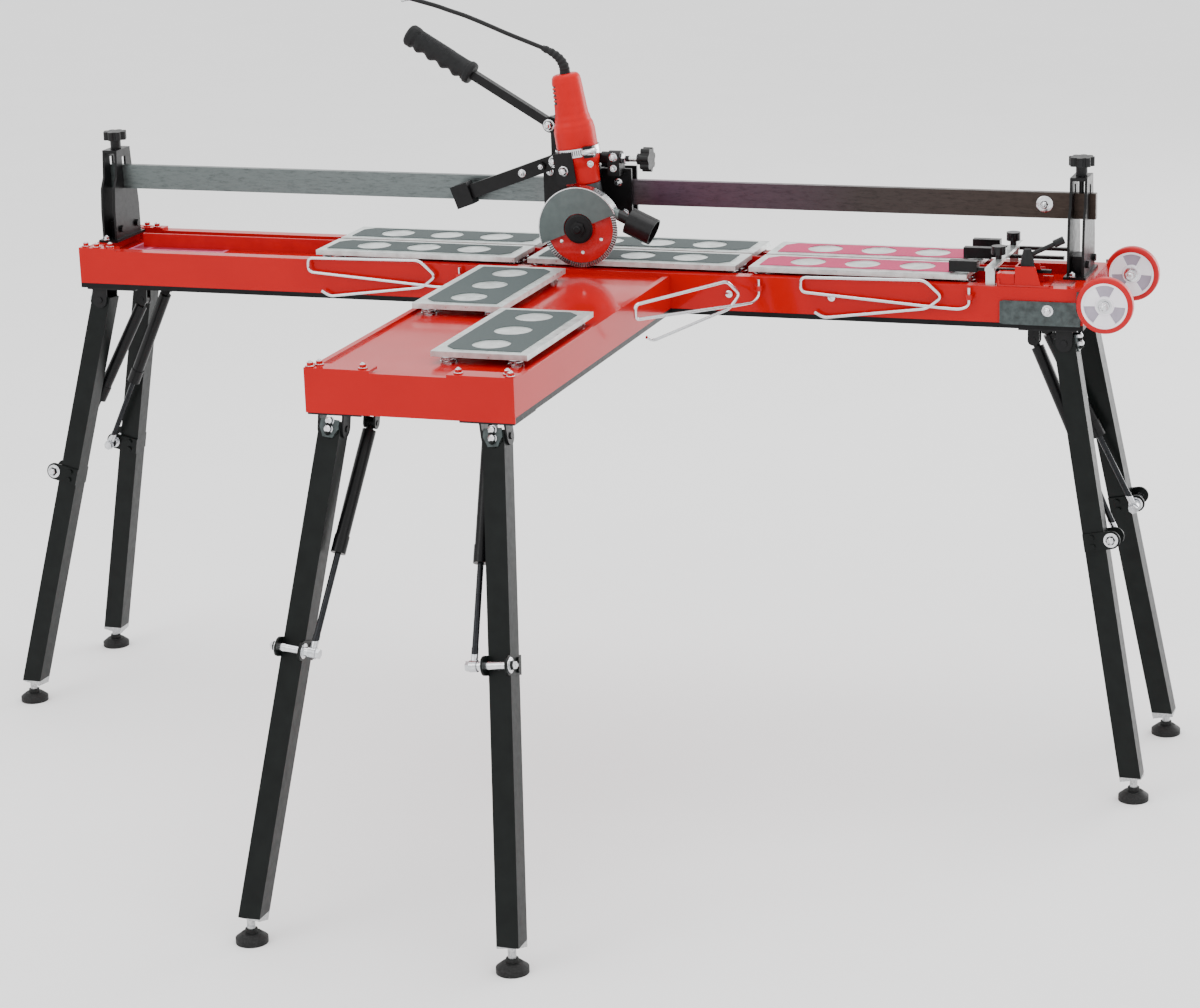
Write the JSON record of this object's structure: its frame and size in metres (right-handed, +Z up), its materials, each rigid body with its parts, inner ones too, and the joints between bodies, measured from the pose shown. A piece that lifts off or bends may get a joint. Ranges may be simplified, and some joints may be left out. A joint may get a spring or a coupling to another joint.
{
  "type": "tile cutter",
  "caption": "Folding tile cutting table with a side arm, six legs with stays, sprung support plates and a circular saw on a rail carriage.",
  "frame": {"origin": "Floor level, under the middle of the box around the whole table without its cord.", "axes": "+X along the main tray and its rail, from the plain end to the wheeled end; +Y from the side arm towards the back; +Z up."},
  "size_m": [1.969, 1.2078, 1.2362],
  "materials": {
    "red_paint": "glossy red powder coat",
    "black_trim": "satin black",
    "black_steel": "satin black paint",
    "dark_plate": "dark grey coated steel",
    "zinc": "bright zinc",
    "rail_steel": "mottled dark steel",
    "black_plastic": "moulded black plastic",
    "grip_rubber": "soft black rubber",
    "cord_rubber": "matt black rubber",
    "saw_shell": "red moulded housing",
    "head_metal": "dark cast housing",
    "guard_paint": "grey coated steel",
    "blade_red": "red disc with bright segmented rim",
    "plate_zinc": "galvanised sheet with a grey rubber pad",
    "chrome_wire": "chromed wire",
    "wheel_red": "red tyre on a pale hub",
    "leg_black": "satin black square tube",
    "stay_black": "black painted tube",
    "stay_rod": "dark rod with a bright end"
  },
  "bodies": {
    "root": {"main_tray": "red_paint", "arm_tray": "red_paint", "edge_trim": "black_trim", "corner_plates": "red_paint", "breaking_bar": "red_paint", "leg_hinges": "black_steel", "uprights": "black_steel", "wheel_arms": "dark_plate", "stop_frame": "red_paint", "plate_posts": "zinc"},
    "rail": {"rail_bar": "rail_steel"},
    "knob_left": {"rail_knob_left": "black_plastic"},
    "knob_right": {"rail_knob_right": "black_plastic"},
    "carriage": {"carriage": "black_steel", "carriage_rollers": "zinc"},
    "lever": {"lever": "black_steel", "lever_grip": "grip_rubber"},
    "breaker": {"breaker_arm": "black_steel"},
    "saw": {"saw_mount": "black_steel", "saw_body": "saw_shell", "gear_head": "head_metal", "blade_guard": "guard_paint", "cord_relief": "grip_rubber", "power_cord": "cord_rubber", "cord_hook": "zinc"},
    "blade": {"diamond_blade": "blade_red"},
    "tilt_knob": {"tilt_knob": "black_plastic"},
    "plate_front_left": {"plate_front_left": "plate_zinc"},
    "plate_front_middle": {"plate_front_middle": "plate_zinc"},
    "plate_front_right": {"plate_front_right": "plate_zinc"},
    "plate_back_left": {"plate_back_left": "plate_zinc"},
    "plate_back_middle": {"plate_back_middle": "plate_zinc"},
    "plate_back_right": {"plate_back_right": "plate_zinc"},
    "plate_arm_inner": {"plate_arm_inner": "plate_zinc"},
    "plate_arm_outer": {"plate_arm_outer": "plate_zinc"},
    "wire_left": {"wire_left": "chrome_wire"},
    "wire_middle": {"wire_middle": "chrome_wire"},
    "wire_right": {"wire_right": "chrome_wire"},
    "stop_slide": {"stop_slide": "black_steel"},
    "stop_lever": {"stop_lever": "black_plastic"},
    "wheel_front": {"wheel_front": "wheel_red"},
    "wheel_back": {"wheel_back": "wheel_red"},
    "leg_front_left": {"leg_front_left": "leg_black"},
    "stay_tube_front_left": {"stay_tube_front_left": "stay_black"},
    "stay_rod_front_left": {"stay_rod_front_left": "stay_rod"},
    "leg_back_left": {"leg_back_left": "leg_black"},
    "stay_tube_back_left": {"stay_tube_back_left": "stay_black"},
    "stay_rod_back_left": {"stay_rod_back_left": "stay_rod"},
    "leg_front_right": {"leg_front_right": "leg_black"},
    "stay_tube_front_right": {"stay_tube_front_right": "stay_black"},
    "stay_rod_front_right": {"stay_rod_front_right": "stay_rod"},
    "leg_back_right": {"leg_back_right": "leg_black"},
    "stay_tube_back_right": {"stay_tube_back_right": "stay_black"},
    "stay_rod_back_right": {"stay_rod_back_right": "stay_rod"},
    "leg_arm_left": {"leg_arm_left": "leg_black"},
    "stay_tube_arm_left": {"stay_tube_arm_left": "stay_black"},
    "stay_rod_arm_left": {"stay_rod_arm_left": "stay_rod"},
    "leg_arm_right": {"leg_arm_right": "leg_black"},
    "stay_tube_arm_right": {"stay_tube_arm_right": "stay_black"},
    "stay_rod_arm_right": {"stay_rod_arm_right": "stay_rod"}
  },
  "joints": [
    {"name": "rail_height", "type": "slide", "parent": "root", "child": "rail", "axis": [0, 0, 1], "range_m": [0, 0.012]},
    {"name": "rail_knob_left_turn", "type": "hinge", "parent": "root", "child": "knob_left", "pos_m": [-0.8135, 0.4425, 0.952], "axis": [0, 0, 1], "range_deg": [-180, 180]},
    {"name": "rail_knob_right_turn", "type": "hinge", "parent": "root", "child": "knob_right", "pos_m": [0.8385, 0.4425, 0.952], "axis": [0, 0, 1], "range_deg": [-180, 180]},
    {"name": "carriage_travel", "type": "slide", "parent": "rail", "child": "carriage", "axis": [1, 0, 0], "range_m": [-0.6, 0.48]},
    {"name": "lever_press", "type": "hinge", "parent": "carriage", "child": "lever", "pos_m": [-0.01, 0.4045, 1.013], "axis": [0, 1, 0], "range_deg": [-34, 0], "stiffness_Nm_per_rad": 2.5, "springref_deg": 40.11},
    {"name": "breaker_press", "type": "hinge", "parent": "carriage", "child": "breaker", "pos_m": [-0.005, 0.4105, 0.953], "axis": [0, 1, 0], "range_deg": [-17, 0]},
    {"name": "saw_tilt", "type": "hinge", "parent": "carriage", "child": "saw", "pos_m": [0.093, 0.4165, 0.958], "axis": [1, 0, 0], "range_deg": [-45, 0]},
    {"name": "blade_spin", "type": "hinge", "parent": "saw", "child": "blade", "pos_m": [0.057, 0.3365, 0.859], "axis": [0, 1, 0], "continuous": true},
    {"name": "tilt_knob_turn", "type": "hinge", "parent": "carriage", "child": "tilt_knob", "pos_m": [0.127, 0.4165, 0.958], "axis": [1, 0, 0], "range_deg": [-180, 180]},
    {"name": "plate_front_left_press", "type": "slide", "parent": "root", "child": "plate_front_left", "axis": [0, 0, -1], "range_m": [0, 0.003], "stiffness_N_per_m": 9000, "springref_m": -0.002},
    {"name": "plate_front_middle_press", "type": "slide", "parent": "root", "child": "plate_front_middle", "axis": [0, 0, -1], "range_m": [0, 0.003], "stiffness_N_per_m": 9000, "springref_m": -0.002},
    {"name": "plate_front_right_press", "type": "slide", "parent": "root", "child": "plate_front_right", "axis": [0, 0, -1], "range_m": [0, 0.003], "stiffness_N_per_m": 9000, "springref_m": -0.002},
    {"name": "plate_back_left_press", "type": "slide", "parent": "root", "child": "plate_back_left", "axis": [0, 0, -1], "range_m": [0, 0.003], "stiffness_N_per_m": 9000, "springref_m": -0.002},
    {"name": "plate_back_middle_press", "type": "slide", "parent": "root", "child": "plate_back_middle", "axis": [0, 0, -1], "range_m": [0, 0.003], "stiffness_N_per_m": 9000, "springref_m": -0.002},
    {"name": "plate_back_right_press", "type": "slide", "parent": "root", "child": "plate_back_right", "axis": [0, 0, -1], "range_m": [0, 0.003], "stiffness_N_per_m": 9000, "springref_m": -0.002},
    {"name": "plate_arm_inner_press", "type": "slide", "parent": "root", "child": "plate_arm_inner", "axis": [0, 0, -1], "range_m": [0, 0.003], "stiffness_N_per_m": 9000, "springref_m": -0.002},
    {"name": "plate_arm_outer_press", "type": "slide", "parent": "root", "child": "plate_arm_outer", "axis": [0, 0, -1], "range_m": [0, 0.003], "stiffness_N_per_m": 9000, "springref_m": -0.002},
    {"name": "wire_left_swing", "type": "hinge", "parent": "root", "child": "wire_left", "pos_m": [-0.144, 0.3155, 0.778], "axis": [0, 0, 1], "range_deg": [0, 85]},
    {"name": "wire_middle_swing", "type": "hinge", "parent": "root", "child": "wire_middle", "pos_m": [0.357, 0.3155, 0.778], "axis": [0, 0, 1], "range_deg": [-2, 26]},
    {"name": "wire_right_swing", "type": "hinge", "parent": "root", "child": "wire_right", "pos_m": [0.691, 0.3155, 0.778], "axis": [0, 0, 1], "range_deg": [0, 90]},
    {"name": "stop_travel", "type": "slide", "parent": "root", "child": "stop_slide", "axis": [1, 0, 0], "range_m": [-0.045, 0.012]},
    {"name": "stop_lever_turn", "type": "hinge", "parent": "root", "child": "stop_lever", "pos_m": [0.775, 0.3445, 0.824], "axis": [0, 0, 1], "range_deg": [-100, 5]},
    {"name": "wheel_front_spin", "type": "hinge", "parent": "root", "child": "wheel_front", "pos_m": [0.901, 0.3095, 0.775], "axis": [0, 1, 0], "continuous": true},
    {"name": "wheel_back_spin", "type": "hinge", "parent": "root", "child": "wheel_back", "pos_m": [0.901, 0.5435, 0.775], "axis": [0, 1, 0], "continuous": true},
    {"name": "leg_front_left_fold", "type": "hinge", "parent": "root", "child": "leg_front_left", "pos_m": [-0.805, 0.3485, 0.706], "axis": [0, -0.9939, 0.1101], "range_deg": [0, 98.74]},
    {"name": "stay_front_left_swing", "type": "hinge", "parent": "root", "child": "stay_tube_front_left", "pos_m": [-0.749, 0.38207, 0.70027], "axis": [0, -0.9939, 0.1101], "range_deg": [0, 107.11]},
    {"name": "stay_front_left_slide", "type": "slide", "parent": "stay_tube_front_left", "child": "stay_rod_front_left", "axis": [0.4533, 0.0982, 0.8859], "range_m": [0, 0.076]},
    {"name": "leg_back_left_fold", "type": "hinge", "parent": "root", "child": "leg_back_left", "pos_m": [-0.805, 0.5045, 0.706], "axis": [0, -0.9939, -0.1101], "range_deg": [0, 98.74]},
    {"name": "stay_back_left_swing", "type": "hinge", "parent": "root", "child": "stay_tube_back_left", "pos_m": [-0.749, 0.47093, 0.70027], "axis": [0, -0.9939, -0.1101], "range_deg": [0, 107.11]},
    {"name": "stay_back_left_slide", "type": "slide", "parent": "stay_tube_back_left", "child": "stay_rod_back_left", "axis": [0.4533, -0.0982, 0.8859], "range_m": [0, 0.076]},
    {"name": "leg_front_right_fold", "type": "hinge", "parent": "root", "child": "leg_front_right", "pos_m": [0.835, 0.3485, 0.706], "axis": [0, 0.9939, -0.1101], "range_deg": [0, 96.35]},
    {"name": "stay_front_right_swing", "type": "hinge", "parent": "root", "child": "stay_tube_front_right", "pos_m": [0.779, 0.38207, 0.70027], "axis": [0, 0.9939, -0.1101], "range_deg": [0, 104.93]},
    {"name": "stay_front_right_slide", "type": "slide", "parent": "stay_tube_front_right", "child": "stay_rod_front_right", "axis": [-0.4201, 0.0999, 0.902], "range_m": [0, 0.07392]},
    {"name": "leg_back_right_fold", "type": "hinge", "parent": "root", "child": "leg_back_right", "pos_m": [0.835, 0.5045, 0.706], "axis": [0, 0.9939, 0.1101], "range_deg": [0, 96.35]},
    {"name": "stay_back_right_swing", "type": "hinge", "parent": "root", "child": "stay_tube_back_right", "pos_m": [0.779, 0.47093, 0.70027], "axis": [0, 0.9939, 0.1101], "range_deg": [0, 104.93]},
    {"name": "stay_back_right_slide", "type": "slide", "parent": "stay_tube_back_right", "child": "stay_rod_back_right", "axis": [-0.4201, -0.0999, 0.902], "range_m": [0, 0.07392]},
    {"name": "leg_arm_left_fold", "type": "hinge", "parent": "root", "child": "leg_arm_left", "pos_m": [-0.073, -0.3635, 0.706], "axis": [0.9942, 0, -0.1072], "range_deg": [0, 91.46]},
    {"name": "stay_arm_left_swing", "type": "hinge", "parent": "root", "child": "stay_tube_arm_left", "pos_m": [-0.03941, -0.3075, 0.70037], "axis": [0.9942, 0, -0.1072], "range_deg": [0, 96.92]},
    {"name": "stay_arm_left_slide", "type": "slide", "parent": "stay_tube_arm_left", "child": "stay_rod_arm_left", "axis": [0.0919, 0.5156, 0.8519], "range_m": [0, 0.07685]},
    {"name": "leg_arm_right_fold", "type": "hinge", "parent": "root", "child": "leg_arm_right", "pos_m": [0.175, -0.3635, 0.706], "axis": [0.9942, 0, 0.1072], "range_deg": [0, 91.46]},
    {"name": "stay_arm_right_swing", "type": "hinge", "parent": "root", "child": "stay_tube_arm_right", "pos_m": [0.14141, -0.3075, 0.70037], "axis": [0.9942, 0, 0.1072], "range_deg": [0, 96.92]},
    {"name": "stay_arm_right_slide", "type": "slide", "parent": "stay_tube_arm_right", "child": "stay_rod_arm_right", "axis": [-0.0919, 0.5156, 0.8519], "range_m": [0, 0.07685]}
  ],
  "couplings": [
    {"joint": "breaker_press", "follows": "lever_press", "ratio": 0.5},
    {"joint": "stay_front_left_swing", "follows": "leg_front_left_fold", "ratio": 1.0797},
    {"joint": "stay_front_left_slide", "follows": "leg_front_left_fold", "m_per_rad": 0.043519},
    {"joint": "stay_back_left_swing", "follows": "leg_back_left_fold", "ratio": 1.0797},
    {"joint": "stay_back_left_slide", "follows": "leg_back_left_fold", "m_per_rad": 0.043519},
    {"joint": "stay_front_right_swing", "follows": "leg_front_right_fold", "ratio": 1.0839},
    {"joint": "stay_front_right_slide", "follows": "leg_front_right_fold", "m_per_rad": 0.043367},
    {"joint": "stay_back_right_swing", "follows": "leg_back_right_fold", "ratio": 1.0839},
    {"joint": "stay_back_right_slide", "follows": "leg_back_right_fold", "m_per_rad": 0.043367},
    {"joint": "stay_arm_left_swing", "follows": "leg_arm_left_fold", "ratio": 1.0543},
    {"joint": "stay_arm_left_slide", "follows": "leg_arm_left_fold", "m_per_rad": 0.047517},
    {"joint": "stay_arm_right_swing", "follows": "leg_arm_right_fold", "ratio": 1.0543},
    {"joint": "stay_arm_right_slide", "follows": "leg_arm_right_fold", "m_per_rad": 0.047517}
  ]
}
